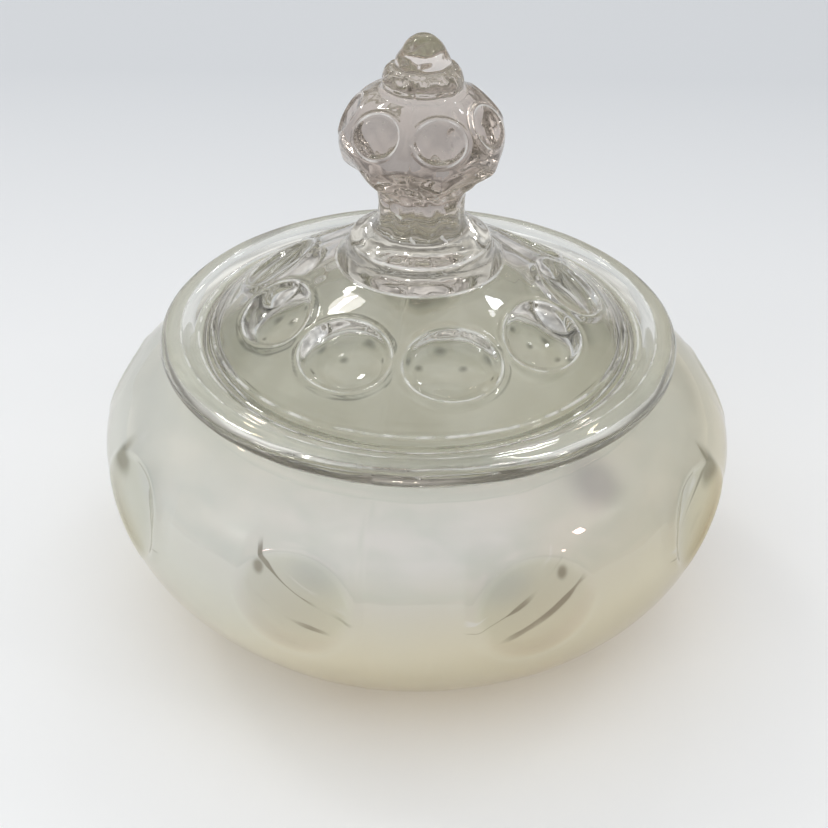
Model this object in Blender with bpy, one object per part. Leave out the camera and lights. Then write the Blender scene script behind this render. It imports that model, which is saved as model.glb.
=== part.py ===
"""Covered candy dish in pressed glass: a squat, closed-in bowl and a domed lid with a knob finial.

Each of the two pieces is one solid piece of glass, turned about the Z axis from a profile, with rings
of round thumbprints pressed into its outside. Lengths in the tables below are millimetres, and the
model is built in metres, +Z up. The origin is on the axis, where the foot ring stands. The front is -Y,
and azimuths are degrees from the front, positive towards +X.
"""

import math

import bmesh
import bpy
from mathutils import Euler, Matrix, Vector

MM = 0.001
BOWL_SEGMENTS = 72  # facets around each turned piece, a multiple of its thumbprints
LID_SEGMENTS = 54
OUTER_STEP = 6.0  # length of a facet along the bowl's outside, and along its inside
INNER_STEP = 9.0
GAP = 0.3  # between the lid's flange and the bowl's rim that carries it

# Bowl: a superellipse below the belly and a flatter ellipse above it.
BELLY_RADIUS = 78.0
BELLY_HEIGHT = 45.0
LOWER_HALF_HEIGHT = 51.0
LOWER_POWER = 2.25
UPPER_HALF_HEIGHT = 34.9
BOWL_WALL = 6.0
FLOOR_HEIGHT = 7.5
RIM_HEIGHT = 69.4
MOUTH_RADIUS = 52.0
FOOT_INNER = 37.0
FOOT_OUTER = 43.0
FOOT_RECESS = 1.6
FOOT_TOP = 2.0  # where the foot ring meets the bowl's outside
FLOOR_ROUND = 5.0
FINE_STEPS = 200  # points on a curve before it is divided evenly

# Lid: a flange with a rolled edge, a dome, a round boss, a neck and the knob.
FLANGE_RADIUS = 62.7
FLANGE_BASE = RIM_HEIGHT + GAP
LOCATING_RADIUS = MOUTH_RADIUS - 1.0  # the ring under the flange that drops into the mouth
LOCATING_DEPTH = 3.2
LOCATING_WIDTH = 3.4
SOFT_EDGE = 0.8  # bevel on edges that were fire-polished
DOME_FOOT = (49.8, 75.2)
DOME_TOP = (19.8, 93.0)
DOME_BULGE = 1.2
DOME_UNDERSIDE = (2.5, 4.4)  # the underside lies this far inwards and below
CROWN_RISE = 2.1
BOSS_TOP = (16.2, 98.7)
BOSS_SIDE = (17.4, 96.6)
NECK_RADIUS = 10.2
NECK_HEIGHT = 105.5
KNOB_RADIUS = 18.8
KNOB_HEIGHT = 124.0
KNOB_UPPER_HALF = 12.8
COLLAR_RADIUS = 9.1
COLLAR_HEIGHT = 136.6
TIP_HEIGHT = 147.6

# Thumbprints: rings of round dishes. halves are half their width and height on the glass, sags how far
# the uncut glass falls away at those edges, and reach the half length of the ellipsoid that cuts one.
BOWL_PRINTS = {
    "count": 9,
    "azimuth": 20.0,
    "depth": 3.9,
    "halves": (13.8, 12.6),
    "sags": (1.2, 3.2),
    "reach": 10.0,
}
BOWL_PRINT_HEIGHT = 48.5
BOWL_PRINT_TILT = 7.0
LID_PRINTS = {
    "count": 9,
    "azimuth": 12.4,
    "depth": 2.5,
    "halves": (11.8, 9.3),
    "sags": (0.9, 0.45),
    "reach": 12.0,
}
LID_PRINT_RADIUS = 36.0
KNOB_PRINTS = {
    "count": 7,
    "azimuth": 14.0,
    "depth": 1.5,
    "halves": (5.9, 5.2),
    "sags": (1.0, 1.17),
    "reach": 6.0,
}
KNOB_PRINT_ANGLE = 25.0  # up the knob's ellipse from its widest circle


def clear_scene():
    for thing in list(bpy.data.objects):
        bpy.data.objects.remove(thing)


def glass(name, colour, roughness, transmission):
    material = bpy.data.materials.new(name)
    material.use_nodes = True
    shader = material.node_tree.nodes["Principled BSDF"]
    shader.inputs["Base Color"].default_value = (*colour, 1.0)
    shader.inputs["Roughness"].default_value = roughness
    shader.inputs["Metallic"].default_value = 0.0
    shader.inputs["IOR"].default_value = 1.5
    shader.inputs["Transmission Weight"].default_value = transmission
    return material


# ---- profiles: lists of (radius, height) in millimetres ----


def superellipse(radius, half_height, power, level):
    """A quarter superellipse from the belly to the axis, as far as a level. A negative half height
    runs down from the belly."""
    points = []
    last = (abs(level - BELLY_HEIGHT) / abs(half_height)) ** (power / 2)
    for step in range(FINE_STEPS + 1):
        angle = math.asin(last) * step / FINE_STEPS
        rise = half_height * math.sin(angle) ** (2 / power)
        points.append((radius * math.cos(angle) ** (2 / power), BELLY_HEIGHT + rise))
    return points


def evenly(points, spacing):
    """The same line with its points an even distance apart, about spacing."""
    lengths = [0.0]
    for first, second in zip(points, points[1:]):
        lengths.append(lengths[-1] + math.dist(first, second))
    count = max(1, round(lengths[-1] / spacing))
    out = []
    for index in range(count):
        target = lengths[-1] * index / count
        at = next(i for i, length in enumerate(lengths) if length > target)
        share = (target - lengths[at - 1]) / (lengths[at] - lengths[at - 1])
        out.append(tuple(Vector(points[at - 1]).lerp(Vector(points[at]), share)))
    return [*out, points[-1]]


def below_belly(inset, level, spacing):
    """From the belly down to a level, on the surface that lies inset inside the outer one."""
    half = -(LOWER_HALF_HEIGHT - inset)
    return evenly(superellipse(BELLY_RADIUS - inset, half, LOWER_POWER, level), spacing)


def above_belly(inset, level, spacing):
    half = UPPER_HALF_HEIGHT - inset
    return evenly(superellipse(BELLY_RADIUS - inset, half, 2, level), spacing)


def curve_through(points, steps):
    """A Catmull-Rom curve through the points, with steps pieces between each two."""
    ends = [points[0], *points, points[-1]]
    out = []
    for a, b, c, d in zip(ends, ends[1:], ends[2:], ends[3:]):
        for step in range(steps):
            t = step / steps
            out.append(tuple(catmull_rom(*values, t) for values in zip(a, b, c, d)))
    return [*out, points[-1]]


def catmull_rom(a, b, c, d, t):
    linear = (c - a) * t
    square = (2 * a - 5 * b + 4 * c - d) * t**2
    cube = (3 * b - a - 3 * c + d) * t**3
    return b + (linear + square + cube) / 2


def bowed(start, end, bulge, steps):
    """An arc from start to end that stands bulge proud of the straight line, on its upper side."""
    run = Vector((end[0] - start[0], end[1] - start[1]))
    middle = Vector(start) + run / 2
    normal = Vector((-run.y, run.x)).normalized()
    if normal.y < 0:
        normal.negate()
    radius = (run.length**2 / 4 + bulge**2) / (2 * bulge)
    centre = middle - normal * (radius - bulge)
    half_angle = math.asin(run.length / 2 / radius)
    turn = half_angle if run.x * normal.y > 0 else -half_angle
    points = []
    for step in range(steps + 1):
        angle = turn * (1 - 2 * step / steps)
        spoke = Matrix.Rotation(angle, 2) @ normal
        points.append(tuple(centre + spoke * radius))
    return points


def bowl_profile():
    """Down the outside from the rim, across the foot and the floor, and up the inside."""
    upper = above_belly(0, RIM_HEIGHT - SOFT_EDGE, OUTER_STEP)[::-1]
    outside = upper + below_belly(0, FOOT_TOP, OUTER_STEP)[1:]
    foot = [
        (FOOT_OUTER + SOFT_EDGE, SOFT_EDGE),
        (FOOT_OUTER, 0.0),
        (FOOT_INNER, 0.0),
        (FOOT_INNER - SOFT_EDGE, FOOT_RECESS),
        (0.0, FOOT_RECESS),
    ]
    inside = below_belly(BOWL_WALL, FLOOR_HEIGHT + SOFT_EDGE, INNER_STEP)[::-1]
    floor = [(0.0, FLOOR_HEIGHT), (inside[0][0] - FLOOR_ROUND, FLOOR_HEIGHT)]
    reach = MOUTH_RADIUS / (BELLY_RADIUS - BOWL_WALL)
    mouth_turn = BELLY_HEIGHT + (UPPER_HALF_HEIGHT - BOWL_WALL) * math.sqrt(1 - reach**2)
    inside += above_belly(BOWL_WALL, mouth_turn, INNER_STEP)[1:]
    rim = [
        (MOUTH_RADIUS, RIM_HEIGHT - SOFT_EDGE),
        (MOUTH_RADIUS + SOFT_EDGE, RIM_HEIGHT),
        (outside[0][0] - SOFT_EDGE, RIM_HEIGHT),
    ]
    return outside + foot + floor + inside + rim


def knob_profile():
    """From the tip down over the two small tiers and the ball to the neck."""
    tip = [(0.0, TIP_HEIGHT), (2.0, TIP_HEIGHT - 0.4)]
    upper_tier = [(3.9, TIP_HEIGHT - 1.9), (5.6, TIP_HEIGHT - 4.7), (6.1, TIP_HEIGHT - 6.2)]
    lower_tier = [(7.6, TIP_HEIGHT - 7.4), (8.6, TIP_HEIGHT - 8.9), (COLLAR_RADIUS, COLLAR_HEIGHT)]
    ball = []
    for degrees in (60, 46, 31, 16, 1, -11):
        angle = math.radians(degrees)
        height = KNOB_HEIGHT + KNOB_UPPER_HALF * math.sin(angle)
        ball.append((KNOB_RADIUS * math.cos(angle), height))
    neck = (NECK_RADIUS, NECK_HEIGHT)
    taper = curve_through([ball[-1], (15.4, 116.3), (11.3, 111.6), (10.3, 108.8), neck], 2)
    return tip + upper_tier + lower_tier + ball + taper[1:]


def lid_profile():
    """Down the outside from the tip to the flange's edge, then back under it to the axis."""
    flare_points = [(NECK_RADIUS, NECK_HEIGHT), (10.7, 102.0), (13.2, 99.5), BOSS_TOP]
    flare = [*curve_through(flare_points, 2), BOSS_SIDE]
    dome = bowed(DOME_TOP, DOME_FOOT, DOME_BULGE, 5)
    step_and_roll = [
        (51.3, 73.9),
        (53.3, 73.3),
        (55.2, 74.2),
        (58.0, 75.0),
        (60.6, 74.8),
        (62.2, 73.8),
        (FLANGE_RADIUS, 72.3),
        (62.3, 70.8),
        (61.0, FLANGE_BASE),
    ]
    ring_base = RIM_HEIGHT - LOCATING_DEPTH
    ring_inside = LOCATING_RADIUS - LOCATING_WIDTH
    ring = [
        (LOCATING_RADIUS, FLANGE_BASE),
        (LOCATING_RADIUS, ring_base + SOFT_EDGE),
        (LOCATING_RADIUS - SOFT_EDGE, ring_base),
        (ring_inside + SOFT_EDGE, ring_base),
        (ring_inside, ring_base + SOFT_EDGE),
    ]
    inwards, below = DOME_UNDERSIDE
    under_foot = (DOME_FOOT[0] - inwards, DOME_FOOT[1] - below)
    under_top = (DOME_TOP[0] - inwards, DOME_TOP[1] - below)
    under = bowed(under_foot, under_top, DOME_BULGE, 4)
    crown = [(under_top[0] / 2, under_top[1] + 0.8 * CROWN_RISE), (0.0, under_top[1] + CROWN_RISE)]
    return knob_profile() + flare[1:] + dome + step_and_roll + ring + under + crown


# ---- solids ----


def turned(name, profile, segments, material):
    """Spins a closed profile about the Z axis into one solid."""
    mesh = bmesh.new()
    corners = [mesh.verts.new(Vector((radius, 0, height)) * MM) for radius, height in profile]
    for first, second in zip(corners, corners[1:] + corners[:1]):
        if first.co.x > 0 or second.co.x > 0:
            mesh.edges.new((first, second))
    bmesh.ops.spin(
        mesh,
        geom=mesh.verts[:] + mesh.edges[:],
        axis=(0, 0, 1),
        cent=(0, 0, 0),
        steps=segments,
        angle=math.tau,
    )
    bmesh.ops.remove_doubles(mesh, verts=mesh.verts[:], dist=0.01 * MM)
    bmesh.ops.recalc_face_normals(mesh, faces=mesh.faces[:])
    return finished(name, mesh, material)


def finished(name, mesh, material):
    data = bpy.data.meshes.new(name)
    mesh.to_mesh(data)
    mesh.free()
    data.shade_smooth()
    data.set_sharp_from_angle(angle=math.radians(40))
    solid = bpy.data.objects.new(name, data)
    bpy.context.scene.collection.objects.link(solid)
    if material:
        data.materials.append(material)
    return solid


def semi_axis(reach, depth, half, sag):
    """The half length of an ellipsoid, across its pole, that cuts a dish of that half width.

    reach is its half length along the pole, depth the dish's, and sag how far the uncut surface
    falls away at the dish's edge.
    """
    return half / math.sqrt(1 - ((reach - depth + sag) / reach) ** 2)


def dish_cutters(name, place, tilt, count, azimuth, depth, halves, sags, reach):
    """One mesh of ellipsoids, each of which presses a round dish into the glass around it.

    place is the (radius, height) of a dish's centre on the glass, and tilt how far, in degrees,
    the glass there faces upwards.
    """
    mesh = bmesh.new()
    across, along = (semi_axis(reach, depth, half, sag) for half, sag in zip(halves, sags))
    scale = Matrix.Diagonal((across * MM, along * MM, reach * MM, 1.0))
    face_out = Euler((math.radians(90 - tilt), 0, 0)).to_matrix().to_4x4()
    for index in range(count):
        turn = math.radians(azimuth + 360 * index / count)
        stand_off = reach - depth
        radius = place[0] + stand_off * math.cos(math.radians(tilt))
        height = place[1] + stand_off * math.sin(math.radians(tilt))
        move = Matrix.Translation(Vector((0, -radius, height)) * MM)
        around = Matrix.Rotation(turn, 4, "Z")
        bmesh.ops.create_uvsphere(
            mesh,
            u_segments=24,
            v_segments=18,
            radius=1.0,
            matrix=around @ move @ face_out @ scale,
        )
    cutter = finished(name, mesh, None)
    cutter.hide_render = True
    cutter.display_type = "WIRE"
    return cutter


def press(solid, cutter):
    cut = solid.modifiers.new("Thumbprints " + cutter.name, "BOOLEAN")
    cut.operation = "DIFFERENCE"
    cut.solver = "EXACT"
    cut.object = cutter


def bowl():
    material = glass("pearl_glass", (0.80, 0.80, 0.74), 0.16, 0.35)
    solid = turned("bowl", bowl_profile(), BOWL_SEGMENTS, material)
    rise = (BOWL_PRINT_HEIGHT - BELLY_HEIGHT) / UPPER_HALF_HEIGHT
    place = (BELLY_RADIUS * math.sqrt(1 - rise**2), BOWL_PRINT_HEIGHT)
    prints = dish_cutters("bowl_thumbprint_cutters", place, BOWL_PRINT_TILT, **BOWL_PRINTS)
    press(solid, prints)
    return solid


def on_dome(radius):
    """The point of the lid's dome at a radius, and how far, in degrees, the dome faces upwards there."""
    run = DOME_FOOT[0] - DOME_TOP[0]
    drop = DOME_TOP[1] - DOME_FOOT[1]
    share = (radius - DOME_TOP[0]) / run
    bow = 4 * DOME_BULGE * share * (1 - share) / math.cos(math.atan2(drop, run))
    slope = drop / run - 4 * DOME_BULGE * (1 - 2 * share) / run
    place = (radius, DOME_TOP[1] - drop * share + bow)
    return place, 90 - math.degrees(math.atan(slope))


def on_ball(degrees):
    """The point of the knob's ball at an angle up its ellipse, and how far the ball faces upwards."""
    angle = math.radians(degrees)
    place = (
        KNOB_RADIUS * math.cos(angle),
        KNOB_HEIGHT + KNOB_UPPER_HALF * math.sin(angle),
    )
    return place, math.degrees(math.atan(math.tan(angle) * KNOB_RADIUS / KNOB_UPPER_HALF))


def lid():
    material = glass("clear_glass", (0.87, 0.88, 0.84), 0.04, 0.9)
    solid = turned("lid", lid_profile(), LID_SEGMENTS, material)
    dome = on_dome(LID_PRINT_RADIUS)
    press(solid, dish_cutters("lid_thumbprint_cutters", *dome, **LID_PRINTS))
    ball = on_ball(KNOB_PRINT_ANGLE)
    press(solid, dish_cutters("knob_thumbprint_cutters", *ball, **KNOB_PRINTS))
    return solid


clear_scene()
bowl()
lid()
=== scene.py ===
"""Looks of the covered candy dish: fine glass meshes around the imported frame, their materials, the light
and the camera. Lengths are millimetres and angles degrees, except on the stage, which is in metres. An
azimuth is counted from the front, -Y, towards +X.
"""

import math

import bpy
import numpy as np
from mathutils import Matrix, Vector


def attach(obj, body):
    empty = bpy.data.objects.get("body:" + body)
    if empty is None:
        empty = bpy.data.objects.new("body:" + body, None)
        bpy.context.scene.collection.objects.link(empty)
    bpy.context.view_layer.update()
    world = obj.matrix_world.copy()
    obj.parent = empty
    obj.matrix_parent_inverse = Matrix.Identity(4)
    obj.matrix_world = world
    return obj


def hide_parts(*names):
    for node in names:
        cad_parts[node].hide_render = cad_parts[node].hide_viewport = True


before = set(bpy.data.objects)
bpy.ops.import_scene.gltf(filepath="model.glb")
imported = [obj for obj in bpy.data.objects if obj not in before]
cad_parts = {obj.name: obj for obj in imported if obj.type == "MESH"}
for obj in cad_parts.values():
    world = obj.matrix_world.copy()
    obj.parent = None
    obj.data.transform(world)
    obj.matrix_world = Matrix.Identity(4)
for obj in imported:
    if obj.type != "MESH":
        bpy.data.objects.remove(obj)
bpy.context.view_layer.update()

MM = 0.001
BOWL_SEGMENTS = 720
LID_SEGMENTS = 441  # 9 dome prints of 49 columns, 7 knob prints of 63

# Bowl
BELLY_RADIUS = 78.0
BELLY_HEIGHT = 45.0
LOWER_HALF_HEIGHT = 51.0
LOWER_POWER = 2.25
UPPER_HALF_HEIGHT = 34.9
BOWL_WALL = 6.0
BAND_LOW, BAND_HIGH = 31.0, 64.0  # the prints lie between these heights
FLOOR_HEIGHT = 7.5
RIM_HEIGHT = 69.4
MOUTH_RADIUS = 52.0
FOOT_INNER = 37.0
FOOT_OUTER = 43.0
FOOT_RECESS = 1.6

# Lid
FLANGE_RADIUS = 62.7
FLANGE_BASE = RIM_HEIGHT + 0.3
LOCATING_RADIUS = MOUTH_RADIUS - 1.0
DOME_FOOT = (49.8, 75.2)
DOME_TOP = (19.8, 93.0)
DOME_BULGE = 1.2
DOME_GLASS = (2.5, 4.4)  # from the dome's outside in and down to its underside
NECK_RADIUS = 10.2
NECK_HEIGHT = 105.5
KNOB_RADIUS = 18.8
KNOB_HEIGHT = 124.0
KNOB_UPPER_HALF = 12.8
TIP_HEIGHT = 147.6

# Thumbprints
BOWL_PRINTS = 9
BOWL_PRINT_AZIMUTH = 20.0
BOWL_PRINT_HEIGHT = 48.5
BOWL_PRINT_CIRCLE = 76.0
BACK_PRINT_TURN = 0.1  # in radians, puts the print at the back's middle on one side
LID_PRINTS = 9
LID_PRINT_AZIMUTH = 12.4
LID_PRINT_RADIUS = 36.0
LID_PRINT_HALVES = (11.4, 9.1)
KNOB_PRINTS = 7
KNOB_PRINT_AZIMUTH = 14.0
KNOB_PRINT_ANGLE = 25.0  # up the knob's ellipse from its widest circle
KNOB_PRINT_HALVES = (5.9, 5.2)
SEAM_AZIMUTH = -9.0

# Painted highlights on the lid: the middle and reach of the painted glints in its neck, and its circles of
# edge highlight, which are the boss above and below, the dome's foot, the step and the flange, as (radius,
# height)
PAINTED_GLINTS_HEIGHT = 111.0
PAINTED_GLINTS_REACH = 11.0
HIGHLIGHT_CIRCLES = ((16.5, 98.4), (19.9, 92.9), (50.0, 75.2), (53.4, 73.4), (57.6, 74.9))

# Marks on the bowl, from the middle of a print away from the front and up; all but the outline are painted
# light and shade. A dark line or a highlight arc is the middle and the radius of its circle, and its width.
# A spot or a shade is the middle and the half widths of its ellipse.
UPPER_PAINTED_DARK_LINE = ((-12.8, 18.9), 24.2, 0.75)
LOWER_PAINTED_DARK_LINE = ((-9.0, 15.5), 25.8, 0.9)
PAINTED_HIGHLIGHT_ARC = ((-12.8, 18.9), 21.5, 1.6)
PRINT_OUTLINE = ((0, -1), (13.8, 13.0))
PAINTED_HOLLOW_PATCH = ((-4.5, 4.0), (8.5, 6.5))
PAINTED_CORNER_SPOT = ((9.2, 4.5), (5.0, 8.5))
INSIDE_SHADE_SPOT = ((0, -2), (10.0, 10.5))

# Marks on the bowl, from the foot up: a spot of painted shade inside it between two prints, and a painted
# violet reflection
LOW_SHADE_SPOT = ((0, 24), (6.0, 5.5))
VIOLET_REFLECTION_AZIMUTH = 38.0
VIOLET_REFLECTION_PATCH = ((0, 64.5), (7, 4.5))

# Colours by which the marks multiply the tint of the bowl's wall: painted shade in the prints, in their
# hollows and along their dark lines, and a painted violet reflection
PRESSED_PAINTED_SHADE = (0.84, 0.85, 0.80)
HOLLOW_PAINTED_SHADE = (0.68, 0.71, 0.72)
DARK_LINE_PAINTED_SHADE = (0.26, 0.25, 0.21)
VIOLET_PAINTED_REFLECTION = (0.66, 0.65, 0.70)

# Tints of the lid by height, flange to tip, as shares of the way between two heights
LID_TINT_HEIGHTS = (60.0, 150.0)
LID_TINTS = [
    (0.16, (0.91, 0.915, 0.875)),
    (0.22, (0.97, 0.975, 0.95)),
    (0.36, (1.0, 0.985, 0.96)),
    (0.38, (0.90, 0.89, 0.84)),
    (0.45, (0.88, 0.86, 0.80)),
    (0.50, (0.74, 0.665, 0.625)),
    (0.55, (0.66, 0.585, 0.55)),
    (0.79, (0.76, 0.68, 0.64)),
    (0.84, (1.0, 0.93, 0.89)),
    (0.95, (1.0, 0.94, 0.89)),
    (0.97, (0.86, 0.86, 0.66)),
]

# Tints of the bowl's wall, lower right to upper left: partly the lustre's own colour and partly painted
# light, darker and warmer at the lower right and lighter and cooler at the upper left, where the light falls
WALL_TINT_TOP = 69.0
WALL_TINTS_AND_PAINTED_LIGHT = [
    (0.03, (0.82, 0.66, 0.42)),
    (0.22, (0.80, 0.71, 0.51)),
    (0.40, (0.95, 0.88, 0.70)),
    (0.60, (0.83, 0.81, 0.71)),
    (0.80, (0.85, 0.862, 0.835)),
]

# Stage, in metres. The room's tones run from the horizon up.
ROOM_TONES = [
    (0.0, (0.64, 0.635, 0.63)),
    (0.14, (0.34, 0.325, 0.31)),
    (0.38, (0.68, 0.67, 0.65)),
    (0.9, (1.0, 1.02, 1.05)),
]
BACKDROP = (0.70, 0.725, 0.755)
CAMERA_TARGET = Vector((0, 0, 0.045))
CAMERA_DISTANCE = 0.400
CAMERA_ELEVATION = 34.61
CAMERA_ROLL = 1.0
CAMERA_LENS = 68.2  # in millimetres, on a sensor 36 mm wide
CAMERA_SHIFT = (-0.0037, 0.0090)
LAMP_AIM_HEIGHT = 0.07
FLOOR_HALF = 3.0
LAMPS = [  # name, direction, distance, size, radiance, colour, and whether the glass mirrors it
    ("window_left", (-0.48, 0.42, 0.77), 1.3, (0.16, 0.11), 24, (1.0, 0.99, 0.97)),
    ("window_right", (0.50, 0.40, 0.77), 1.3, (0.11, 0.08), 20, (0.90, 0.93, 1.0)),
    ("window_front", (-0.72, -0.52, 0.46), 1.3, (0.12, 0.12), 12, (1.0, 0.98, 0.95)),
    ("wall_left", (-0.80, -0.55, 0.35), 1.4, (1.1, 0.8), 0.65, (0.97, 0.99, 1.0), False),
    ("lamp_right", (0.75, -0.30, 0.62), 1.3, (0.09, 0.07), 26, (1.0, 0.98, 0.94)),
    ("lamp_back", (0.12, 0.80, 0.72), 1.3, (0.07, 0.05), 25, (1.0, 0.99, 0.97)),
]


# ---- profiles: arrays of (radius, height) in millimetres ----


def superellipse(radius, half_height, power, low, high, count=240):
    """Points of the bowl's outline from one height to another, on one side of the belly."""
    heights = np.linspace(low, high, count)
    share = np.clip(np.abs(heights - BELLY_HEIGHT) / half_height, 0, 1)
    return np.stack([radius * (1 - share**power) ** (1 / power), heights], 1)


def evenly(points, spacing):
    """The line through the points, with new points at an even spacing."""
    points = np.asarray(points, float)
    steps = np.hypot(*np.diff(points, axis=0).T)
    length = np.concatenate([[0], np.cumsum(steps)])
    count = max(1, round(length[-1] / spacing))
    places = np.linspace(0, length[-1], count + 1)
    return np.stack([np.interp(places, length, points[:, i]) for i in (0, 1)], 1)


def curve_through(points, spacing):
    """A Catmull-Rom curve through the points, resampled at an even spacing."""
    points = np.asarray(points, float)
    ends = np.concatenate([points[:1] * 2 - points[1:2], points, points[-1:] * 2 - points[-2:-1]])
    t = np.linspace(0, 1, 24, endpoint=False)[:, None]
    pieces = []
    for a, b, c, d in zip(ends, ends[1:], ends[2:], ends[3:]):
        square = (2 * a - 5 * b + 4 * c - d) * t**2
        cube = (3 * b - a - 3 * c + d) * t**3
        pieces.append(b + ((c - a) * t + square + cube) / 2)
    return evenly(np.concatenate([*pieces, points[-1:]]), spacing)


def bowed(start, end, bulge, spacing):
    """An arc from start to end that stands bulge proud of the straight line, on its upper side."""
    start, end = np.array(start), np.array(end)
    along = np.linspace(0, 1, 60)[:, None]
    run = end - start
    normal = np.array([-run[1], run[0]]) / np.hypot(*run)
    normal *= math.copysign(1, normal[1])
    return evenly(start + run * along + normal * bulge * 4 * along * (1 - along), spacing)


def joined(*sections):
    """The sections one after another, without the points where two of them meet twice."""
    out = [np.asarray(sections[0], float)]
    for section in sections[1:]:
        section = np.asarray(section, float)
        same = np.hypot(*(section[0] - out[-1][-1])) < 1e-6
        out.append(section[1:] if same else section)
    return np.concatenate(out)


def bowl_profile():
    """From the middle of the foot's recess out and up the outside, over the rim and down the inside."""
    low_side = superellipse(BELLY_RADIUS, LOWER_HALF_HEIGHT, LOWER_POWER, 2.0, BELLY_HEIGHT)
    high_side = superellipse(BELLY_RADIUS, UPPER_HALF_HEIGHT, 2, BELLY_HEIGHT, RIM_HEIGHT - 0.8)
    foot = [
        (0, FOOT_RECESS),
        (30, FOOT_RECESS),
        (FOOT_INNER - 1.6, FOOT_RECESS - 0.3),
        (FOOT_INNER + 0.4, 0.06),
        (FOOT_INNER + 2, 0),
        (FOOT_OUTER - 1, 0),
        (FOOT_OUTER + 0.8, 0.45),
        tuple(low_side[0]),
    ]
    printed = joined(low_side[low_side[:, 1] >= BAND_LOW], high_side[high_side[:, 1] < BAND_HIGH])
    above = evenly(high_side[high_side[:, 1] >= BAND_HIGH], 1.5)
    top = above[-1]
    rim = [
        tuple(top),
        (top[0] - 0.9, RIM_HEIGHT - 0.1),
        (top[0] - 2.2, RIM_HEIGHT),
        (MOUTH_RADIUS + 1.4, RIM_HEIGHT),
        (MOUTH_RADIUS + 0.3, RIM_HEIGHT - 0.35),
        (MOUTH_RADIUS, RIM_HEIGHT - 1.3),
    ]
    inner = BELLY_RADIUS - BOWL_WALL
    half = UPPER_HALF_HEIGHT - BOWL_WALL
    turn = BELLY_HEIGHT + half * math.sqrt(1 - (MOUTH_RADIUS / inner) ** 2)
    inside_high = superellipse(inner, half, 2, BELLY_HEIGHT, turn)[::-1]
    low_half = LOWER_HALF_HEIGHT - BOWL_WALL
    inside_low = superellipse(inner, low_half, LOWER_POWER, FLOOR_HEIGHT + 1.0, BELLY_HEIGHT)[::-1]
    last = inside_low[-1]
    floor = [
        tuple(last),
        (last[0] - 3.5, FLOOR_HEIGHT + 0.25),
        (last[0] - 8.0, FLOOR_HEIGHT),
        (12.0, FLOOR_HEIGHT),
        (0, FLOOR_HEIGHT),
    ]
    return joined(
        curve_through(foot, 2.4),
        evenly(low_side[low_side[:, 1] < BAND_LOW], 2.2),
        evenly(printed, 0.85),
        above,
        curve_through(rim, 0.6),
        evenly(inside_high, 2.6),
        evenly(inside_low, 2.6),
        curve_through(floor, 4.0),
    )


def knob_profile():
    """From the tip down over the two small tiers and the ball to the neck."""
    tip = TIP_HEIGHT
    tiers = [
        (0.0, tip),
        (2.0, tip - 0.35),
        (3.9, tip - 1.9),
        (5.3, tip - 4.2),
        (6.0, tip - 5.6),
        (6.3, tip - 6.7),
        (6.9, tip - 7.15),
        (7.9, tip - 7.5),
        (8.8, tip - 8.7),
        (9.15, tip - 10.1),
        (9.0, tip - 11.3),
        (9.3, tip - 12.1),
    ]
    ball = []
    for degrees in range(58, -12, -3):
        angle = math.radians(degrees)
        height = KNOB_HEIGHT + KNOB_UPPER_HALF * math.sin(angle)
        ball.append((KNOB_RADIUS * math.cos(angle), height))
    neck = (NECK_RADIUS, NECK_HEIGHT)
    taper = [ball[-1], (17.2, 118.6), (14.0, 115.2), (11.4, 112.0), (10.4, 108.8), neck]
    return joined(curve_through(tiers, 0.4), evenly(ball, 0.4), curve_through(taper, 0.45))


def lid_profile():
    """Down the outside from the tip to the flange's edge, then back under it to the axis."""
    flare = [
        (NECK_RADIUS, NECK_HEIGHT),
        (10.4, 103.3),
        (11.3, 101.3),
        (13.3, 99.8),
        (16.0, 98.8),
        (17.0, 97.8),
        (17.7, 95.6),
        DOME_TOP,
    ]
    step_and_roll = [
        DOME_FOOT,
        (51.3, 73.9),
        (53.3, 73.3),
        (55.2, 74.2),
        (58.0, 75.0),
        (60.6, 74.8),
        (62.2, 73.8),
        (FLANGE_RADIUS, 72.3),
        (62.3, 70.8),
        (61.0, FLANGE_BASE),
    ]
    ring_base = FLANGE_BASE - 3.5
    under_foot = (DOME_FOOT[0] - DOME_GLASS[0], DOME_FOOT[1] - DOME_GLASS[1])
    under_top = (DOME_TOP[0] - DOME_GLASS[0], DOME_TOP[1] - DOME_GLASS[1])
    ring = [
        (59.0, FLANGE_BASE),
        (52.2, FLANGE_BASE),
        (LOCATING_RADIUS, FLANGE_BASE - 0.8),
        (LOCATING_RADIUS - 0.2, ring_base + 0.7),
        (LOCATING_RADIUS - 1.1, ring_base),
        (LOCATING_RADIUS - 2.4, ring_base + 0.1),
        (LOCATING_RADIUS - 3.3, ring_base + 1.0),
        under_foot,
    ]
    crown = [under_top, (12.0, under_top[1] + 1.3), (6.0, under_top[1] + 2.0), (0, under_top[1] + 2.1)]
    return joined(
        knob_profile(),
        curve_through(flare, 0.55),
        bowed(DOME_TOP, DOME_FOOT, DOME_BULGE, 0.75),
        curve_through(step_and_roll, 0.45),
        curve_through(ring, 1.1),
        bowed(under_foot, under_top, DOME_BULGE, 2.2),
        curve_through(crown, 3.0),
    )


# ---- glass bodies ----


def placed(name, data):
    """A new object in the scene."""
    made = bpy.data.objects.new(name, data)
    bpy.context.scene.collection.objects.link(made)
    return made


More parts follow.
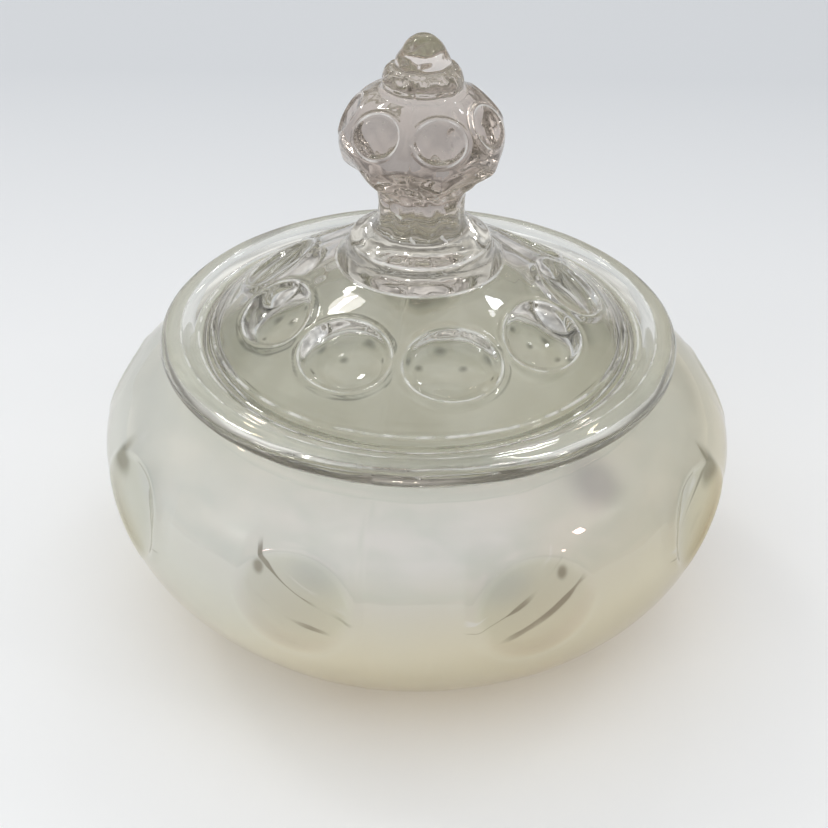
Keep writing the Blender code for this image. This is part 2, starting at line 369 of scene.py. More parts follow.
class Turned:
    """A profile turned round the axis, as a grid of points: rows x columns x 3.

    The profile's first and last points are on the axis, and are left out of the rows.
    """

    def __init__(self, profile, columns):
        self.profile = profile
        self.azimuth = np.arange(columns) * math.tau / columns
        radius, height = profile[1:-1].T
        self.radius = radius[:, None]
        self.height = height[:, None] + 0 * self.azimuth[None]
        self.points = self.around(self.radius, self.height)
        self.pressed = np.zeros(self.height.shape)

    def around(self, outward, upward):
        """Each row's outward and upward parts, turned round the axis."""
        sin, cos = np.sin(self.azimuth)[None], np.cos(self.azimuth)[None]
        return np.stack([outward * sin, -outward * cos, upward + 0 * sin], 2)

    def normals(self):
        """Normals to the right of the way the profile runs: out of the bowl's glass, into the lid's."""
        run = np.gradient(self.profile, axis=0)[1:-1]
        run /= np.hypot(*run.T)[:, None]
        return self.around(run[:, 1:], -run[:, :1])

    def move_out(self, amount):
        """Moves each point away from the axis."""
        self.points[:, :, 0] += amount * np.sin(self.azimuth)
        self.points[:, :, 1] -= amount * np.cos(self.azimuth)

    def displace(self, amount):
        """Moves each point along its normal, which is into the glass on the lid."""
        self.points += self.normals() * amount[:, :, None]

    def solid(self, name, flip):
        """A closed mesh object of the points. flip turns its faces for a profile that runs downward."""
        rows, columns, _ = self.points.shape
        first = np.array([[0, 0, self.profile[0][1]]])
        last = np.array([[0, 0, self.profile[-1][1]]])
        points = np.concatenate([first, self.points.reshape(-1, 3), last]) * MM
        start = 1 + np.arange(rows)[:, None] * columns + np.arange(columns)[None]
        after = np.roll(start, -1, 1)
        quads = np.stack([start[:-1], after[:-1], after[1:], start[1:]], 2).reshape(-1, 4)
        top = np.stack([np.zeros(columns, int), after[0], start[0]], 1)
        end = len(points) - 1
        bottom = np.stack([np.full(columns, end), start[-1], after[-1]], 1)
        faces = [*quads.tolist(), *top.tolist(), *bottom.tolist()]
        if flip:
            faces = [face[::-1] for face in faces]
        mesh = bpy.data.meshes.new(name)
        mesh.from_pydata(points.tolist(), [], faces)
        mesh.validate()
        mesh.shade_smooth()
        return placed(name, mesh)


def smooth_least(a, b, width):
    """The lesser of a and b, rounded over width where they cross."""
    share = np.clip(0.5 + (b - a) / (2 * width), 0, 1)
    return b * (1 - share) + a * share - width * share * (1 - share)


def bump(values, middle, half_width):
    """A smooth hump of height 1 at middle that ends half_width away."""
    share = np.clip(np.abs(values - middle) / half_width, 0, 1)
    return (1 - share**2) ** 2


def semi_axis(reach, depth, half, sag):
    """The half axis of an ellipsoid that cuts a surface of this sag in an outline of this half width."""
    return half / math.sqrt(1 - ((reach - depth + sag) / reach) ** 2)


def press(body, count, azimuth, place, tilt, depth, halves, sags, reach, edge, lip):
    """Presses a ring of round dishes into a body, each the floor of an ellipsoid, with rounded edges.

    place is the radius and height of the dishes' middles, and tilt how far they face up, in degrees. halves
    are a dish's half width and half height, and sags how far the plain surface falls away there. reach is
    the ellipsoid's half axis inward, and edge the rounding. lip is the height and the half width of the
    raised line around each dish.
    """
    across, along = (semi_axis(reach, depth, half, sag) for half, sag in zip(halves, sags))
    lean = math.radians(tilt)
    shift = np.zeros_like(body.points)
    for index in range(count):
        turn = math.radians(azimuth + 360 * index / count)
        out = np.array([math.sin(turn), -math.cos(turn), 0])
        side = np.array([math.cos(turn), math.sin(turn), 0])
        up = np.array([0, 0, 1.0])
        facing = math.cos(lean) * out + math.sin(lean) * up
        upright = math.cos(lean) * up - math.sin(lean) * out
        middle = out * place[0] + up * place[1] + (reach - depth) * facing
        local = body.points - middle
        round_off = (local @ side / across) ** 2 + (local @ upright / along) ** 2
        level = local @ facing
        floor = -reach * np.sqrt(np.clip(1 - round_off, 0, 1))
        # only the surface around the dish, not the far side of the body
        near = (level > -2.2 * reach) & (round_off < 1.6)
        drop = np.where(near, smooth_least(level, floor, edge) - level, 0)
        body.pressed = np.maximum(body.pressed, np.clip(-drop / depth, 0, 1))
        slope = np.sqrt(np.maximum(1 - round_off, 0.02))
        drop += np.where(near, lip[0] * bump((level - floor) * slope, 0, lip[1]), 0)
        shift += drop[:, :, None] * facing
    body.points += shift


def ripple(body, waves):
    """Slow unevenness of the surface. A wave is (size, waves round, length along the profile, phase)."""
    steps = np.hypot(*np.diff(body.profile, axis=0).T)
    along = np.cumsum(steps)[:-1, None]
    rise = sum(
        size * np.cos(turns * body.azimuth[None] + along * math.tau / length + phase)
        for size, turns, length, phase in waves
    )
    fade = np.clip(body.radius / 8, 0, 1) ** 2
    body.displace(rise * fade)


def scallop(body):
    """The ball's lower edge hangs in a point below each print, a little proud, and arches up between."""
    between = np.abs(np.sin((body.azimuth - math.radians(KNOB_PRINT_AZIMUTH)) * KNOB_PRINTS / 2))[None]
    hanging = bump(body.height, 118.0, 6.5) * (body.radius > 9)
    body.points[:, :, 2] += hanging * (2.1 * between**1.4 - 0.9)
    body.move_out(0.55 * bump(body.height, 120.0, 5.0) * (1 - between) * (body.radius > 12))


def flutes(body, count, azimuth, low, high, depth):
    """Evenly spaced hollows that run up the neck between two heights."""
    wave = 0.5 - 0.5 * np.cos(count * (body.azimuth - math.radians(azimuth)))[None]
    reach = bump(body.height, (low + high) / 2, (high - low) / 2)
    body.move_out(-depth * wave * reach * (body.radius < 12))


def dimples(body, count, azimuth, radius, height, size, depth):
    """A ring of small round dimples in the lid."""
    dip = np.zeros(body.height.shape)
    for index in range(count):
        turn = math.radians(azimuth + 360 * index / count)
        middle = np.array([radius * math.sin(turn), -radius * math.cos(turn), height])
        away = np.linalg.norm(body.points - middle, axis=2) / size
        dip += np.sqrt(np.clip(1 - away**2, 0, 1)) * np.clip(1 - away**6, 0, 1)
    body.displace(depth * np.minimum(dip, 1))


def aside_of(body, turn):
    """How far each point is round the axis from a turn in radians, in millimetres."""
    return np.angle(np.exp(1j * (body.azimuth - turn)))[None] * body.radius


def seams(body, half_width, amount):
    """Two mould seams opposite each other: faint lines, proud on the bowl and sunk in on the lid."""
    for turn in (SEAM_AZIMUTH, SEAM_AZIMUTH + 180):
        aside = aside_of(body, math.radians(turn))
        body.displace(amount * bump(aside, 0, half_width) * (body.radius > 6))


def print_spots(body, across, along):
    """1 in the middle of each of the bowl's prints, falling to 0 on an ellipse of these half widths."""
    share = np.zeros(body.height.shape)
    for index in range(BOWL_PRINTS):
        turn = math.radians(BOWL_PRINT_AZIMUTH + 360 * index / BOWL_PRINTS)
        away = np.hypot(aside_of(body, turn) / across, (body.height - BOWL_PRINT_HEIGHT + 1) / along)
        share = np.maximum(share, np.clip(1 - away**2, 0, 1) * (body.radius > 55))
    return share


def rings(body, lines):
    """Fine raised rings on the flange and the dome's foot. A line is (radius, rise, half width)."""
    top = (body.height > 72.5) & (body.height < 78)
    for radius, rise, half_width in lines:
        body.points[:, :, 2] += rise * bump(body.radius, radius, half_width) * top


def inner_rows(body):
    """Which rows of the bowl are inside it, from the mouth's edge down."""
    heights = body.profile[1:-1, 1]
    past_rim = np.arange(len(heights)) >= np.argmax(heights >= RIM_HEIGHT - 0.4)
    in_mouth = body.radius[:, 0] < MOUTH_RADIUS + 0.01
    return np.maximum.accumulate(past_rim & in_mouth)


def bowl_glass():
    """The bowl, with its lustre on the inside and a print_share attribute that is 1 in its prints."""
    body = Turned(bowl_profile(), BOWL_SEGMENTS)
    inner = inner_rows(body)
    outer = ~inner[:, None]
    rise = BOWL_PRINT_HEIGHT - BELLY_HEIGHT
    radius = BELLY_RADIUS * math.sqrt(1 - (rise / UPPER_HALF_HEIGHT) ** 2)
    press(
        body,
        BOWL_PRINTS,
        BOWL_PRINT_AZIMUTH,
        place=(radius, BOWL_PRINT_HEIGHT),
        tilt=7.0,
        depth=3.9,
        halves=(13.8, 12.6),
        sags=(1.2, 3.2),
        reach=10.0,
        edge=0.45,
        lip=(0.35, 1.3),
    )
    # the inside stands in behind each print
    body.move_out(-2.2 * print_spots(body, 14.5, 14.0) ** 0.8 * inner[:, None])
    ripple(body, [(0.07, 5, 61, 0.4), (0.05, 9, 37, 2.1), (0.03, 16, 23, 4.0), (0.02, 31, 13, 1.0)])
    seams(body, half_width=0.9, amount=0.12 * outer)
    made = body.solid("bowl_glass", flip=False)
    pressed = np.clip(body.pressed * 3.0, 0, 1) * outer
    share = made.data.attributes.new("print_share", "FLOAT", "POINT")
    share.data.foreach_set("value", np.concatenate([[0], pressed.ravel(), [0]]).astype(np.float32))
    # faces come row by row, then the caps at the foot's middle and at the floor's middle
    caps = np.repeat([0, 1], BOWL_SEGMENTS)
    slots = np.concatenate([np.repeat(inner[:-1], BOWL_SEGMENTS), caps]).astype(np.int32)
    made.data.polygons.foreach_set("material_index", slots)
    return made


def dome_place(radius):
    """The dome's height at a radius, and how far it faces up there, in degrees."""
    run = DOME_FOOT[0] - DOME_TOP[0]
    drop = DOME_TOP[1] - DOME_FOOT[1]
    share = (radius - DOME_TOP[0]) / run
    bow = 4 * DOME_BULGE * share * (1 - share) / math.cos(math.atan2(drop, run))
    slope = drop / run - 4 * DOME_BULGE * (1 - 2 * share) / run
    return DOME_TOP[1] - drop * share + bow, 90 - math.degrees(math.atan(slope))


def ball_place(degrees):
    """The radius and height at an angle up the knob's ellipse, and how far it faces up there, in degrees."""
    angle = math.radians(degrees)
    place = (KNOB_RADIUS * math.cos(angle), KNOB_HEIGHT + KNOB_UPPER_HALF * math.sin(angle))
    return place, math.degrees(math.atan(math.tan(angle) * KNOB_RADIUS / KNOB_UPPER_HALF))


def hammered(body, seed, count, size, length, low, high):
    """Small random waves between two heights, as pressed glass has where the mould chilled it."""
    draw = np.random.default_rng(seed)
    rise = np.zeros(body.height.shape)
    for _ in range(count):
        way = draw.normal(size=3)
        way *= math.tau / (length * draw.uniform(0.7, 1.5) * np.linalg.norm(way))
        rise += np.cos(body.points @ way + draw.uniform(0, math.tau))
    reach = bump(body.height, (low + high) / 2, (high - low) / 2) * np.clip(body.radius / 3, 0, 1)
    body.displace(size / math.sqrt(count) * rise * reach)


def lid_glass():
    """The lid, with its knob, prints and fine relief."""
    body = Turned(lid_profile(), LID_SEGMENTS)
    scallop(body)
    height, tilt = dome_place(LID_PRINT_RADIUS)
    press(
        body,
        LID_PRINTS,
        LID_PRINT_AZIMUTH,
        place=(LID_PRINT_RADIUS, height),
        tilt=tilt,
        depth=3.1,
        halves=LID_PRINT_HALVES,
        sags=(0.9, 0.45),
        reach=12.0,
        edge=0.15,
        lip=(0.45, 1.0),
    )
    place, facing = ball_place(KNOB_PRINT_ANGLE)
    press(
        body,
        KNOB_PRINTS,
        KNOB_PRINT_AZIMUTH,
        place=place,
        tilt=facing,
        depth=1.5,
        halves=KNOB_PRINT_HALVES,
        sags=(1.0, 1.17),
        reach=6.0,
        edge=0.1,
        lip=(0.35, 0.55),
    )
    flutes(body, count=9, azimuth=KNOB_PRINT_AZIMUTH, low=101.5, high=114.0, depth=0.8)
    dimples(body, count=11, azimuth=5.0, radius=8.0, height=TIP_HEIGHT - 7.7, size=0.9, depth=0.3)
    hammered(body, seed=7, count=9, size=0.20, length=4.6, low=105.0, high=122.0)
    hammered(body, seed=8, count=9, size=0.12, length=4.2, low=132.0, high=149.0)
    hammered(body, seed=9, count=7, size=0.06, length=9.0, low=70.0, high=95.0)
    rings(body, [(57.6, 0.16, 0.9), (53.4, 0.2, 0.8), (50.0, 0.22, 0.8), (48.2, 0.1, 0.7)])
    ripple(body, [(0.03, 6, 41, 0.4), (0.025, 11, 23, 2.1), (0.012, 23, 9, 4.0)])
    seams(body, half_width=0.7, amount=0.08)
    return body.solid("lid_glass", flip=True)


# ---- materials ----


def new_material(name):
    """A material with its main shader."""
    material = bpy.data.materials.new(name)
    material.use_nodes = True
    return material


def put(owner, socket, value):
    """Sets an input socket to a number or a colour, or links another node's output to it."""
    if isinstance(value, bpy.types.NodeSocket):
        owner.node_tree.links.new(value, socket)
    elif isinstance(value, tuple):
        socket.default_value = (*value, 1)
    else:
        socket.default_value = value


def add(owner, kind, inputs, **settings):
    """A new node of a material or a world, with its settings made and its inputs put in."""
    node = owner.node_tree.nodes.new("ShaderNode" + kind)
    for name, value in settings.items():
        setattr(node, name, value)
    for name, value in inputs.items():
        put(owner, node.inputs[name], value)
    return node


def principled(material, inputs):
    """Puts values into the material's main shader."""
    shader = material.node_tree.nodes["Principled BSDF"]
    for name, value in inputs.items():
        put(material, shader.inputs[name], value)


def let_lamps_through(material, colour):
    """Lamps shine through the surface with this tint, so that what lies behind it is lit."""
    nodes = material.node_tree.nodes
    shadow = add(material, "LightPath", {}).outputs["Is Shadow Ray"]
    clear = add(material, "BsdfTransparent", {"Color": colour}).outputs["BSDF"]
    glass = nodes["Principled BSDF"].outputs["BSDF"]
    mix = add(material, "MixShader", {"Fac": shadow, 1: glass, 2: clear})
    put(material, nodes["Material Output"].inputs["Surface"], mix.outputs["Shader"])


def absorb(material, colour, density):
    """The glass dims what passes through its body, by this tint and density per metre."""
    volume = add(material, "VolumeAbsorption", {"Color": colour, "Density": density})
    put(material, material.node_tree.nodes["Material Output"].inputs["Volume"], volume.outputs["Volume"])


def arithmetic(owner, operation, *values):
    """Numbers and node outputs taken together by one operation, such as ADD or MAXIMUM."""
    total, *others = values
    for value in others or [0]:
        total = add(owner, "Math", {0: total, 1: value}, operation=operation).outputs[0]
    return total


def share_between(owner, value, low, high, ends=(0, 1), **settings):
    """The value's way from low to high, as a number that runs from one end to the other."""
    inputs = {"Value": value, "From Min": low, "From Max": high, "To Min": ends[0], "To Max": ends[1]}
    return add(owner, "MapRange", inputs, **settings).outputs["Result"]


def fall(material, value, start, end):
    """1 up to start and 0 from end on, or the other way round where start is the greater."""
    return share_between(material, value, start, end, (1, 0), interpolation_type="SMOOTHSTEP")


def coordinates(owner, space="Object"):
    """X, Y and Z in metres on an object, or along a direction in the world."""
    where = add(owner, "TexCoord", {}).outputs[space]
    return add(owner, "SeparateXYZ", {0: where}).outputs


def cloud(owner, scale, detail, space="Object"):
    """Soft noise with this many patches to the metre."""
    where = add(owner, "TexCoord", {}).outputs[space]
    return add(owner, "TexNoise", {"Vector": where, "Scale": scale, "Detail": detail}).outputs["Fac"]


def ramp_of(owner, value, stops):
    """Colours by a 0 to 1 value. A stop is (position, (red, green, blue))."""
    ramp = add(owner, "ValToRGB", {"Fac": value})
    elements = ramp.color_ramp.elements
    for _ in stops[2:]:
        elements.new(0.5)
    for element, (position, colour) in zip(elements, stops):
        element.position = position
        element.color = (*colour, 1)
    return ramp.outputs["Color"]


def mixed(owner, factor, first, second, blend="MIX"):
    """The first colour at factor 0 and the second, or their blend, at factor 1."""
    mix = add(owner, "Mix", {}, data_type="RGBA", blend_type=blend)
    for name, value in (("Factor", factor), ("A", first), ("B", second)):
        put(owner, mix.inputs[name], value)
    return mix.outputs["Result"]


def slant(material, power):
    """0 where the surface faces the eye, rising to 1 at its outline."""
    facing = add(material, "LayerWeight", {"Blend": 0.5}).outputs["Facing"]
    return arithmetic(material, "POWER", facing, power)


# ---- places on the glass, in millimetres ----


def hypotenuse(material, *sides):
    """The long side over two sides that meet at a right angle."""
    squares = [arithmetic(material, "MULTIPLY", side, side) for side in sides]
    return arithmetic(material, "SQRT", arithmetic(material, "ADD", *squares))


def millimetres(material):
    """X, Y and Z on the object, in millimetres."""
    return [arithmetic(material, "MULTIPLY", value, 1 / MM) for value in coordinates(material)]


def from_axis(material):
    """How far out from the axis, and how far up from the foot."""
    x, y, z = millimetres(material)
    return hypotenuse(material, x, y), z


def sector(material, count, azimuth):
    """The turn past the nearest of count even places round the axis, and the turn of that place itself."""
    x, y, _ = millimetres(material)
    step = math.tau / count
    turn = arithmetic(material, "ARCTAN2", x, arithmetic(material, "MULTIPLY", y, -1))
    steps = arithmetic(material, "SUBTRACT", turn, math.radians(azimuth))
    steps = arithmetic(material, "DIVIDE", steps, step)
    index = arithmetic(material, "ROUND", steps)
    past = arithmetic(material, "MULTIPLY", arithmetic(material, "SUBTRACT", steps, index), step)
    place = arithmetic(material, "MULTIPLY", index, step)
    return past, arithmetic(material, "ADD", place, math.radians(azimuth))


def nearest(material, count, azimuth):
    """Aside, out and up, as if turned about the axis to the nearest of count even places."""
    past, _ = sector(material, count, azimuth)
    radius, up = from_axis(material)
    aside = arithmetic(material, "MULTIPLY", radius, arithmetic(material, "SINE", past))
    out = arithmetic(material, "MULTIPLY", radius, arithmetic(material, "COSINE", past))
    return aside, out, up


def distance(material, across, up, middle, halves):
    """How far a place is from the middle of an ellipse, 1 on its line."""
    shares = []
    for value, centre, half in zip((across, up), middle, halves):
        offset = arithmetic(material, "SUBTRACT", value, centre)
        shares.append(arithmetic(material, "DIVIDE", offset, half))
    return hypotenuse(material, *shares)


def off_line(material, away):
    """How far a distance from an ellipse's middle is from the ellipse's own line."""
    return arithmetic(material, "ABSOLUTE", arithmetic(material, "SUBTRACT", away, 1))


def wandering(material, value, scale, size):
    """The value, shifted by up to half of size either way along a slow noise."""
    shift = arithmetic(material, "SUBTRACT", cloud(material, scale, 1), 0.5)
    return arithmetic(material, "ADD", value, arithmetic(material, "MULTIPLY", shift, size))


# ---- clear glass of the lid ----


def ring_line(material, count, azimuth, place, tilt, halves, width):
    """A fine line round each print of a ring of prints, 1 on the line."""
    aside, out, up = nearest(material, count, azimuth)
    cos, sin = math.cos(math.radians(tilt)), math.sin(math.radians(tilt))
    out = arithmetic(material, "SUBTRACT", out, place[0])
    up = arithmetic(material, "SUBTRACT", up, place[1])
    lifted = arithmetic(material, "MULTIPLY", up, cos)
    upright = arithmetic(material, "SUBTRACT", lifted, arithmetic(material, "MULTIPLY", out, sin))
    risen = arithmetic(material, "MULTIPLY", up, -sin)
    deep = arithmetic(material, "SUBTRACT", risen, arithmetic(material, "MULTIPLY", out, cos))
    off = off_line(material, distance(material, aside, upright, (0, 0), halves))
    line = fall(material, off, 0.2 * width / halves[0], width / halves[0])
    return arithmetic(material, "MULTIPLY", line, fall(material, deep, 2.4, 3.2))


def circle_line(material, radius, height, width):
    """A fine line round the lid at a radius and a height, 1 on the line."""
    away = distance(material, *from_axis(material), (radius, height), (width, width * 2.5))
    return fall(material, away, 0.3, 1.0)


def painted_edge_highlights(material):
    """Painted highlights along the lid's sharp edges, as faintly frosted white lines: round its prints, the
    boss and the rings of the flange.
    """
    dome, tilt = dome_place(LID_PRINT_RADIUS)
    place, facing = ball_place(KNOB_PRINT_ANGLE)
    on_dome = (LID_PRINTS, LID_PRINT_AZIMUTH, (LID_PRINT_RADIUS, dome), tilt, LID_PRINT_HALVES)
    on_knob = (KNOB_PRINTS, KNOB_PRINT_AZIMUTH, place, facing, KNOB_PRINT_HALVES)
    lines = [ring_line(material, *on_dome, width=0.5), ring_line(material, *on_knob, width=0.4)]
    lines += [circle_line(material, *circle, width=0.4) for circle in HIGHLIGHT_CIRCLES]
    edge_highlight_lines = fall(material, cloud(material, 160, 2), 0.62, 0.35)
    edge_highlight_lines = arithmetic(material, "MULTIPLY", arithmetic(material, "MAXIMUM", *lines), edge_highlight_lines)
    # painted glints: white specks on the neck and the ball's lower half
    _, up = from_axis(material)
    off = arithmetic(material, "ABSOLUTE", arithmetic(material, "SUBTRACT", up, PAINTED_GLINTS_HEIGHT))
    painted_glints = fall(material, cloud(material, 700, 0), 0.80, 0.70)
    painted_glints = arithmetic(material, "MULTIPLY", painted_glints, fall(material, off, 0.8 * PAINTED_GLINTS_REACH, PAINTED_GLINTS_REACH))
    return arithmetic(material, "MAXIMUM", edge_highlight_lines, painted_glints)


def clear_glass():
    """Grey-green clear glass, faintly pink in the knob."""
    material = new_material("clear_glass")
    height = share_between(material, millimetres(material)[2], *LID_TINT_HEIGHTS)
    tint = ramp_of(material, height, LID_TINTS)
    tint = mixed(material, slant(material, 5), tint, (0.62, 0.50, 0.42))
    # painted highlights: the lid turns white and less clear along its edges and in specks on the neck
    edges = painted_edge_highlights(material)
    highlight_frost = arithmetic(material, "MULTIPLY", edges, 0.55)
    principled(
        material,
        {
            "Base Color": mixed(material, edges, tint, (0.93, 0.925, 0.90)),
            "Transmission Weight": arithmetic(material, "SUBTRACT", 1, highlight_frost),
            "Roughness": 0.0,
            "IOR": 1.5,
        },
    )
    let_lamps_through(material, (0.74, 0.75, 0.72))
    absorb(material, (0.40, 0.36, 0.28), 13)
    return material


# ---- pearl glass of the bowl ----


def print_place(material):
    """Aside from and above the middle of the nearest bowl print, aside counted away from the front.

    The middle print of the back counts as one on the right.
    """
    past, place = sector(material, BOWL_PRINTS, BOWL_PRINT_AZIMUTH)
    aside = arithmetic(material, "MULTIPLY", past, BOWL_PRINT_CIRCLE)
    turn = arithmetic(material, "SUBTRACT", place, BACK_PRINT_TURN)
    side = arithmetic(material, "SIGN", arithmetic(material, "SINE", turn))
    _, up = from_axis(material)
    above = arithmetic(material, "SUBTRACT", up, BOWL_PRINT_HEIGHT)
    return arithmetic(material, "MULTIPLY", aside, side), above


def stroke(material, across, up, middle, radius, width):
    """A thin arc of uneven width, 1 on its line."""
    off = off_line(material, distance(material, across, up, middle, (radius, radius)))
    broad = fall(material, cloud(material, 75, 1), 0.66, 0.36)
    broad = arithmetic(material, "MULTIPLY", arithmetic(material, "ADD", broad, 0.15), width / radius)
    return fall(material, arithmetic(material, "DIVIDE", off, broad), 0.55, 1.0)


def print_lines(material):
    """Painted shade and light in each of the bowl's prints: dark lines that stand in for its refractions,
    pale glints, and the shade across its hollow.
    """
    across, up = print_place(material)
    across = wandering(material, across, 17, 10.0)
    up = wandering(material, up, 21, 10.0)
    within = fall(material, distance(material, across, up, *PRINT_OUTLINE), 0.95, 1.12)

    def broken(line, scale, seen, gone):
        """The line, whole where the noise is above seen and gone below gone."""
        return arithmetic(material, "MULTIPLY", line, fall(material, cloud(material, scale, 1), seen, gone))

    # painted shade: two broken dark lines across each print, standing in for the refractions through it
    upper = broken(stroke(material, across, up, *UPPER_PAINTED_DARK_LINE), 44, 0.50, 0.36)
    lower = broken(stroke(material, across, up, *LOWER_PAINTED_DARK_LINE), 38, 0.58, 0.48)
    painted_dark_lines = arithmetic(material, "MULTIPLY", arithmetic(material, "MAXIMUM", upper, lower), within)
    # the painted dark spot at the corner away from the front, wider on the dish's sides
    sideways = arithmetic(material, "ABSOLUTE", millimetres(material)[0])
    size = arithmetic(material, "SUBTRACT", arithmetic(material, "MULTIPLY", sideways, 0.0105), 0.06)
    size = arithmetic(material, "MAXIMUM", size, 0.02)
    corner = distance(material, across, up, *PAINTED_CORNER_SPOT)
    corner = fall(material, arithmetic(material, "DIVIDE", corner, size), 0.35, 1.15)
    # painted highlight: a broken pale arc beside the upper dark line of each print
    painted_highlight = broken(stroke(material, across, up, *PAINTED_HIGHLIGHT_ARC), 62, 0.64, 0.52)
    # painted shade: a soft grey patch towards the front and up in each print's hollow
    hollow = fall(material, distance(material, across, up, *PAINTED_HOLLOW_PATCH), 0.2, 1.1)
    dark = arithmetic(material, "MAXIMUM", painted_dark_lines, corner)
    return dark, arithmetic(material, "MULTIPLY", painted_highlight, within), hollow


def wall_glass():
    """Glass of the bowl's wall, tinted by its lustre and by painted light: cool above, cream to the right,
    peach at the foot. It also carries painted shade, highlights and a painted reflection.
    """
    material = new_material("wall_glass")
    x, _, z = millimetres(material)
    # painted light as well as the lustre's tint: lighter and cooler to the upper left, darker and warmer to
    # the lower right
    up = share_between(material, z, 0, WALL_TINT_TOP)
    right = share_between(material, x, -BELLY_RADIUS, BELLY_RADIUS)
    patches = arithmetic(material, "MULTIPLY", cloud(material, 24, 2), 0.35)
    place = arithmetic(material, "SUBTRACT", up, arithmetic(material, "MULTIPLY", right, 0.50))
    tint = ramp_of(material, arithmetic(material, "ADD", place, patches), WALL_TINTS_AND_PAINTED_LIGHT)
    prints = add(material, "Attribute", {}, attribute_name="print_share").outputs["Fac"]
    dark, painted_highlight, hollow = print_lines(material)
    # painted reflection: a soft violet patch high on the wall, right of the front
    aside, _, height = nearest(material, 1, VIOLET_REFLECTION_AZIMUTH)
    violet = fall(material, distance(material, aside, height, *VIOLET_REFLECTION_PATCH), 0.3, 1.3)
    # painted shade: the pressed prints are darker all over
    shade = mixed(material, prints, (1.0, 1.0, 1.0), PRESSED_PAINTED_SHADE)
    shade = mixed(material, hollow, shade, HOLLOW_PAINTED_SHADE)
    shade = mixed(material, dark, shade, DARK_LINE_PAINTED_SHADE)
    shade = mixed(material, violet, shade, VIOLET_PAINTED_REFLECTION)
    colour = mixed(material, 1, tint, shade, "MULTIPLY")
    colour = mixed(material, slant(material, 7), colour, (0.34, 0.26, 0.16))
    principled(
        material,
        {
            "Base Color": mixed(material, painted_highlight, colour, (1.0, 1.0, 1.0)),
            "Roughness": 0.03,
            "IOR": 1.6,
            "Transmission Weight": 0.75,
            "Thin Film Thickness": 300,
            "Thin Film IOR": 1.7,
        },
    )
    let_lamps_through(material, (0.92, 0.92, 0.90))
    return material


def pearl_lustre():
    """The milky lustre on the inside of the bowl: bright through the wall, grey-green from inside.

    From inside it is greyer and darker, partly its other face and partly painted shade for the dish's dim
    inside. Painted shade also puts a soft dark spot on each print's back and lower down between the prints,
    standing in for dark refractions; the lid's prints gather these into small dark shapes.
    """
    material = new_material("pearl_lustre")
    patches = cloud(material, 30, 3)
    outside = ramp_of(material, patches, [(0.3, (0.95, 0.94, 0.90)), (0.7, (0.97, 0.98, 0.96))])
    # partly painted shade: greyer and darker than the outside, for the dimmer inside of the dish, as well as
    # the lustre's other face
    inside = ramp_of(material, patches, [(0.3, (0.80, 0.80, 0.73)), (0.7, (0.88, 0.89, 0.84))])
    between = BOWL_PRINT_AZIMUTH + 180 / BOWL_PRINTS
    aside, _, height = nearest(material, BOWL_PRINTS, between)
    # painted shade on the inside, standing in for dark refractions
    spots = [
        distance(material, *print_place(material), *INSIDE_SHADE_SPOT),
        distance(material, aside, height, *LOW_SHADE_SPOT),
    ]
    dark = arithmetic(material, "MAXIMUM", *[fall(material, spot, 0.1, 1.15) for spot in spots])
    inside = mixed(material, dark, inside, (0.37, 0.375, 0.33))
    seen_from_outside = add(material, "NewGeometry", {}).outputs["Backfacing"]
    colour = mixed(material, seen_from_outside, inside, outside)
    lustre = {"Base Color": colour, "Roughness": 0.22, "IOR": 1.5, "Transmission Weight": 0.22}
    principled(material, lustre)
    let_lamps_through(material, (0.45, 0.45, 0.43))
    return material


# ---- stage ----


def soft_box(name, direction, away, size, radiance, colour, mirrored=True):
    """A lamp that faces the dish from a direction, of the given size in metres."""
    data = bpy.data.lights.new(name, "AREA")
    data.shape = "RECTANGLE"
    data.size, data.size_y = size
    data.energy = radiance * math.pi * size[0] * size[1]
    data.color = colour
    lamp = placed(name, data)
    place = Vector(direction).normalized() * away
    lamp.location = place + Vector((0, 0, LAMP_AIM_HEIGHT))
    lamp.rotation_euler = (-place).to_track_quat("-Z", "Y").to_euler()
    lamp.visible_camera = False
    lamp.visible_glossy = mirrored


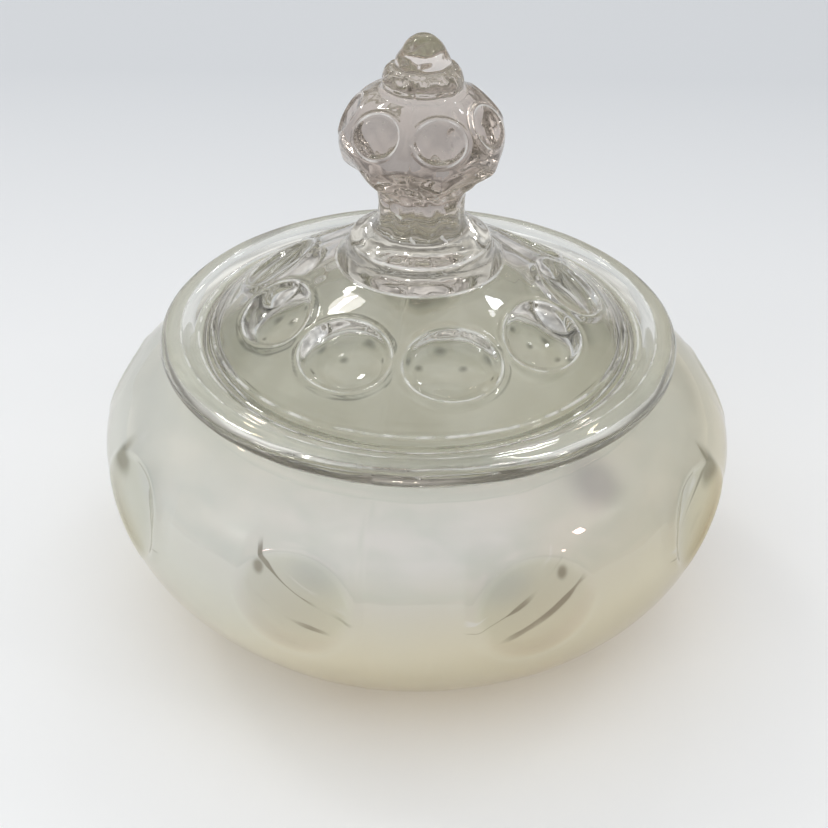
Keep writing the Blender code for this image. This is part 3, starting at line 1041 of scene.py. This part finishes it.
def world_light():
    """An uneven room that shows in reflections and refractions, with a plain backdrop for the camera."""
    world = bpy.data.worlds.new("studio")
    world.use_nodes = True
    room = ramp_of(world, coordinates(world, "Generated")["Z"], ROOM_TONES)
    patches = share_between(world, cloud(world, 2.6, 3, "Generated"), 0.38, 0.62, (0.55, 1.35))
    uneven = add(world, "VectorMath", {}, operation="SCALE")
    put(world, uneven.inputs[0], room)
    put(world, uneven.inputs["Scale"], patches)
    seen = add(world, "LightPath", {}).outputs["Is Camera Ray"]
    colour = mixed(world, seen, uneven.outputs[0], BACKDROP)
    background = world.node_tree.nodes["Background"]
    put(world, background.inputs["Color"], colour)
    put(world, background.inputs["Strength"], 1.0)
    bpy.context.scene.world = world


def floor():
    """Pale paper, with painted shade that turns it greyer behind the dish, towards the backdrop's colour."""
    corners = [(x * FLOOR_HALF, y * FLOOR_HALF, 0) for x, y in ((-1, -1), (1, -1), (1, 1), (-1, 1))]
    mesh = bpy.data.meshes.new("floor")
    mesh.from_pydata(corners, [], [(0, 1, 2, 3)])
    made = placed("floor", mesh)
    made.location.z = -0.0002
    material = new_material("floor_paper")
    # painted shade: the paper darkens towards the back
    behind = share_between(material, coordinates(material)["Y"], 0.05, 0.34)
    paper = ramp_of(material, behind, [(0, (0.95, 0.955, 0.96)), (1, (0.69, 0.71, 0.735))])
    principled(material, {"Base Color": paper, "Roughness": 0.9})
    mesh.materials.append(material)


def camera():
    """The photo's view: from the front, looking down, with a slight roll."""
    data = bpy.data.cameras.new("camera")
    data.lens = CAMERA_LENS
    data.sensor_width = 36
    data.shift_x, data.shift_y = CAMERA_SHIFT
    made = placed("camera", data)
    elevation = math.radians(CAMERA_ELEVATION)
    back = Vector((0, -math.cos(elevation), math.sin(elevation)))
    made.location = CAMERA_TARGET + back * CAMERA_DISTANCE
    turn = (-back).to_track_quat("-Z", "Y")
    roll = Matrix.Rotation(math.radians(CAMERA_ROLL), 4, back)
    made.rotation_euler = (roll @ turn.to_matrix().to_4x4()).to_euler()
    bpy.context.scene.camera = made


camera()
floor()
world_light()
for lamp in LAMPS:
    soft_box(*lamp)
bowl = bowl_glass()
lid = lid_glass()
bowl.data.materials.append(wall_glass())
bowl.data.materials.append(pearl_lustre())
lid.data.materials.append(clear_glass())
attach(bowl, "dish")
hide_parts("bowl")
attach(lid, "cover")
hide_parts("lid")
scene = bpy.context.scene
scene.view_settings.view_transform = "Standard"
scene.cycles.max_bounces = 20
scene.cycles.transmission_bounces = 20
scene.cycles.glossy_bounces = 10
scene.cycles.diffuse_bounces = 5
scene.cycles.transparent_max_bounces = 20
